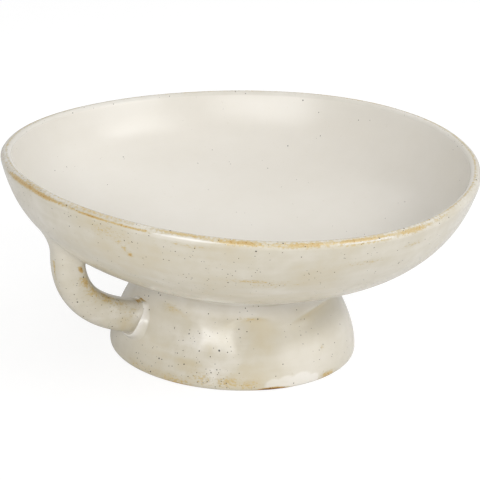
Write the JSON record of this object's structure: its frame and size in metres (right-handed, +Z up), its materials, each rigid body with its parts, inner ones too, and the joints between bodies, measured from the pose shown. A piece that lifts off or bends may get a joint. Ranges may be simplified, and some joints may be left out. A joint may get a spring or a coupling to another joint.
{
  "type": "stoneware bowl",
  "caption": "Hand-shaped footed stoneware serving bowl: a wide shallow dish on a hollow bell-shaped foot, with a small loop handle running from the dish's underside to the foot.",
  "frame": {"origin": "on the surface it stands on, under the middle of the rim; the foot's axis is 3.5 mm towards the handle", "axes": "+Z up, and the handle points along -X from the foot"},
  "size_m": [0.2737, 0.2847, 0.1184],
  "materials": {
    "cream_glaze": "satin cream stoneware glaze with dark specks, breaking to ochre on the edges",
    "bare_clay": "unglazed buff stoneware body, dry and slightly gritty"
  },
  "bodies": {
    "root": {"bowl": "cream_glaze", "foot": "cream_glaze", "handle": "cream_glaze", "foot_outer_coil": "cream_glaze", "foot_inner_coil": "bare_clay", "handle_top_collar": "cream_glaze", "handle_foot_collar": "cream_glaze"}
  },
  "joints": []
}
